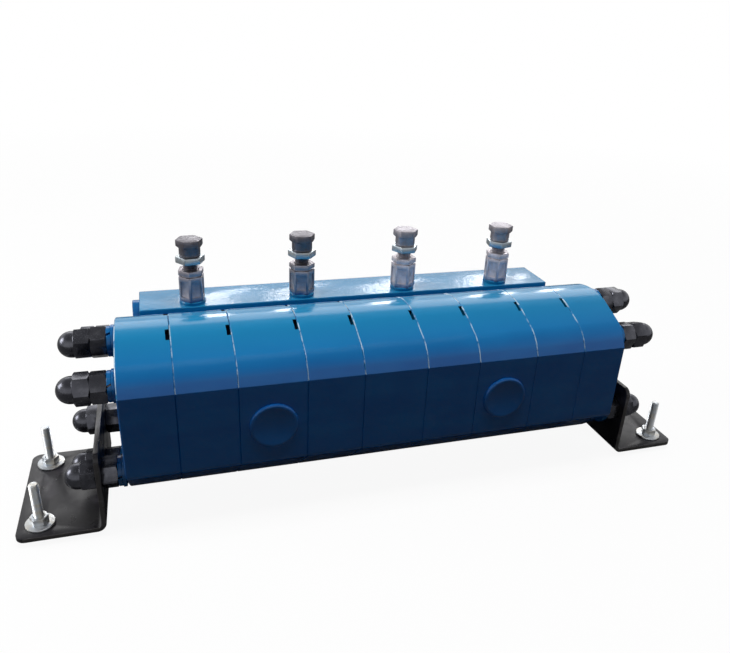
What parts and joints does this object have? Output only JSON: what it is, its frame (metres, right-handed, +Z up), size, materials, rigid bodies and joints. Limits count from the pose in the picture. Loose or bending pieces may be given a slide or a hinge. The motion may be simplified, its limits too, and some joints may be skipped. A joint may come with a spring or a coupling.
{
  "type": "gear flow divider",
  "caption": "Gear flow divider: a clamped stack of blue plates with coupled gear pairs, relief valves on a rear manifold and two angle feet.",
  "frame": {"origin": "on the floor plane under the bolt heads, at the middle of the overall box", "axes": "+X along the gear shafts, +Y from the inlet face to the outlet face, +Z up"},
  "size_m": [0.645, 0.1844, 0.2148],
  "materials": {
    "plate_enamel": "glossy blue enamel with light orange peel",
    "manifold_enamel": "glossy blue enamel, coarser orange peel on top",
    "washer_enamel": "blue enamel sprayed over the stacked washers",
    "plug_enamel": "blue enamel sprayed over the plug",
    "cap_enamel": "glossy blue enamel on a thin cap",
    "bearing_bronze": "machined bearing bronze",
    "seal_rubber": "black nitrile rubber",
    "gear_steel": "ground case-hardened steel",
    "rod_steel": "black oxide on high-tensile steel",
    "nut_black": "black oxide, satin",
    "screw_black": "black oxide, satin",
    "bracket_black": "semi-gloss black over cut plate",
    "foot_zinc": "bright zinc plate",
    "valve_body_steel": "turned and milled steel, mauve grey",
    "adjuster_steel": "turned steel, grey phosphate",
    "lock_nut_zinc": "bluish bright zinc plate",
    "valve_inner_steel": "hardened and ground steel",
    "spring_steel": "patented spring wire"
  },
  "bodies": {
    "housing": {"left_end_cover": "plate_enamel", "right_end_cover": "plate_enamel", "gear_section_1": "plate_enamel", "gear_section_2": "plate_enamel", "gear_section_3": "plate_enamel", "gear_section_4": "plate_enamel", "mid_plate_1": "plate_enamel", "mid_plate_2": "plate_enamel", "mid_plate_3": "plate_enamel", "bearing_blocks": "bearing_bronze", "section_seals": "seal_rubber", "tie_rods": "rod_steel", "tie_rod_washers": "washer_enamel", "tie_rod_spring_washers": "washer_enamel", "tie_rod_hex_nuts": "nut_black", "tie_rod_dome_nuts": "nut_black", "left_bracket": "bracket_black", "right_bracket": "bracket_black", "foot_bolts": "foot_zinc", "foot_washers": "foot_zinc", "foot_nuts": "foot_zinc", "valve_manifold": "manifold_enamel", "manifold_screws": "screw_black", "gallery_plugs": "plug_enamel", "port_seals": "seal_rubber", "valve_body_1": "valve_body_steel", "valve_body_2": "valve_body_steel", "valve_body_3": "valve_body_steel", "valve_body_4": "valve_body_steel"},
    "drive_shaft": {"drive_gear_1": "gear_steel", "drive_gear_2": "gear_steel", "drive_gear_3": "gear_steel", "drive_gear_4": "gear_steel", "shaft_couplings": "gear_steel"},
    "idler_1": {"idler_gear_1": "gear_steel"},
    "idler_2": {"idler_gear_2": "gear_steel"},
    "idler_3": {"idler_gear_3": "gear_steel"},
    "idler_4": {"idler_gear_4": "gear_steel"},
    "cap_1": {"inlet_cap_1": "cap_enamel"},
    "cap_2": {"inlet_cap_2": "cap_enamel"},
    "seat_1": {"spring_seat_1": "valve_inner_steel", "valve_spring_1": "spring_steel"},
    "adjuster_1": {"adjuster_1": "adjuster_steel"},
    "lock_nut_1": {"lock_nut_1": "lock_nut_zinc"},
    "poppet_1": {"poppet_1": "valve_inner_steel"},
    "seat_2": {"spring_seat_2": "valve_inner_steel", "valve_spring_2": "spring_steel"},
    "adjuster_2": {"adjuster_2": "adjuster_steel"},
    "lock_nut_2": {"lock_nut_2": "lock_nut_zinc"},
    "poppet_2": {"poppet_2": "valve_inner_steel"},
    "seat_3": {"spring_seat_3": "valve_inner_steel", "valve_spring_3": "spring_steel"},
    "adjuster_3": {"adjuster_3": "adjuster_steel"},
    "lock_nut_3": {"lock_nut_3": "lock_nut_zinc"},
    "poppet_3": {"poppet_3": "valve_inner_steel"},
    "seat_4": {"spring_seat_4": "valve_inner_steel", "valve_spring_4": "spring_steel"},
    "adjuster_4": {"adjuster_4": "adjuster_steel"},
    "lock_nut_4": {"lock_nut_4": "lock_nut_zinc"},
    "poppet_4": {"poppet_4": "valve_inner_steel"}
  },
  "joints": [
    {"name": "drive_shaft_spin", "type": "hinge", "parent": "housing", "child": "drive_shaft", "pos_m": [0, -0.02375, 0.1143], "axis": [1, 0, 0], "continuous": true},
    {"name": "idler_1_spin", "type": "hinge", "parent": "housing", "child": "idler_1", "pos_m": [-0.162, -0.02375, 0.0723], "axis": [1, 0, 0], "continuous": true},
    {"name": "idler_2_spin", "type": "hinge", "parent": "housing", "child": "idler_2", "pos_m": [-0.054, -0.02375, 0.0723], "axis": [1, 0, 0], "continuous": true},
    {"name": "idler_3_spin", "type": "hinge", "parent": "housing", "child": "idler_3", "pos_m": [0.054, -0.02375, 0.0723], "axis": [1, 0, 0], "continuous": true},
    {"name": "idler_4_spin", "type": "hinge", "parent": "housing", "child": "idler_4", "pos_m": [0.162, -0.02375, 0.0723], "axis": [1, 0, 0], "continuous": true},
    {"name": "inlet_cap_1_pull", "type": "slide", "parent": "housing", "child": "cap_1", "axis": [0, -1, 0], "range_m": [0, 0.03]},
    {"name": "inlet_cap_2_pull", "type": "slide", "parent": "housing", "child": "cap_2", "axis": [0, -1, 0], "range_m": [0, 0.03]},
    {"name": "spring_seat_1_lift", "type": "slide", "parent": "housing", "child": "seat_1", "axis": [0, 0, 1], "range_m": [-0.003, 0.003], "deforming": ["valve_spring_1"]},
    {"name": "adjuster_1_turn", "type": "hinge", "parent": "seat_1", "child": "adjuster_1", "pos_m": [-0.162, 0.05625, 0.1893], "axis": [0, 0, 1], "range_deg": [-720, 720]},
    {"name": "lock_nut_1_slide", "type": "slide", "parent": "adjuster_1", "child": "lock_nut_1", "axis": [0, 0, 1], "range_m": [-0.004, 0]},
    {"name": "poppet_1_lift", "type": "slide", "parent": "housing", "child": "poppet_1", "axis": [0, 0, 1], "range_m": [0, 0.0015], "stiffness_N_per_m": 400, "springref_m": -0.0005},
    {"name": "spring_seat_2_lift", "type": "slide", "parent": "housing", "child": "seat_2", "axis": [0, 0, 1], "range_m": [-0.003, 0.003], "deforming": ["valve_spring_2"]},
    {"name": "adjuster_2_turn", "type": "hinge", "parent": "seat_2", "child": "adjuster_2", "pos_m": [-0.054, 0.05625, 0.1893], "axis": [0, 0, 1], "range_deg": [-720, 720]},
    {"name": "lock_nut_2_slide", "type": "slide", "parent": "adjuster_2", "child": "lock_nut_2", "axis": [0, 0, 1], "range_m": [-0.004, 0]},
    {"name": "poppet_2_lift", "type": "slide", "parent": "housing", "child": "poppet_2", "axis": [0, 0, 1], "range_m": [0, 0.0015], "stiffness_N_per_m": 400, "springref_m": -0.0005},
    {"name": "spring_seat_3_lift", "type": "slide", "parent": "housing", "child": "seat_3", "axis": [0, 0, 1], "range_m": [-0.003, 0.003], "deforming": ["valve_spring_3"]},
    {"name": "adjuster_3_turn", "type": "hinge", "parent": "seat_3", "child": "adjuster_3", "pos_m": [0.054, 0.05625, 0.1893], "axis": [0, 0, 1], "range_deg": [-720, 720]},
    {"name": "lock_nut_3_slide", "type": "slide", "parent": "adjuster_3", "child": "lock_nut_3", "axis": [0, 0, 1], "range_m": [-0.004, 0]},
    {"name": "poppet_3_lift", "type": "slide", "parent": "housing", "child": "poppet_3", "axis": [0, 0, 1], "range_m": [0, 0.0015], "stiffness_N_per_m": 400, "springref_m": -0.0005},
    {"name": "spring_seat_4_lift", "type": "slide", "parent": "housing", "child": "seat_4", "axis": [0, 0, 1], "range_m": [-0.003, 0.003], "deforming": ["valve_spring_4"]},
    {"name": "adjuster_4_turn", "type": "hinge", "parent": "seat_4", "child": "adjuster_4", "pos_m": [0.162, 0.05625, 0.1893], "axis": [0, 0, 1], "range_deg": [-720, 720]},
    {"name": "lock_nut_4_slide", "type": "slide", "parent": "adjuster_4", "child": "lock_nut_4", "axis": [0, 0, 1], "range_m": [-0.004, 0]},
    {"name": "poppet_4_lift", "type": "slide", "parent": "housing", "child": "poppet_4", "axis": [0, 0, 1], "range_m": [0, 0.0015], "stiffness_N_per_m": 400, "springref_m": -0.0005}
  ],
  "couplings": [
    {"joint": "idler_1_spin", "follows": "drive_shaft_spin", "ratio": -1},
    {"joint": "idler_2_spin", "follows": "drive_shaft_spin", "ratio": -1},
    {"joint": "idler_3_spin", "follows": "drive_shaft_spin", "ratio": -1},
    {"joint": "idler_4_spin", "follows": "drive_shaft_spin", "ratio": -1},
    {"joint": "adjuster_1_turn", "follows": "spring_seat_1_lift", "rad_per_m": 4188.8},
    {"joint": "adjuster_2_turn", "follows": "spring_seat_2_lift", "rad_per_m": 4188.8},
    {"joint": "adjuster_3_turn", "follows": "spring_seat_3_lift", "rad_per_m": 4188.8},
    {"joint": "adjuster_4_turn", "follows": "spring_seat_4_lift", "rad_per_m": 4188.8}
  ]
}
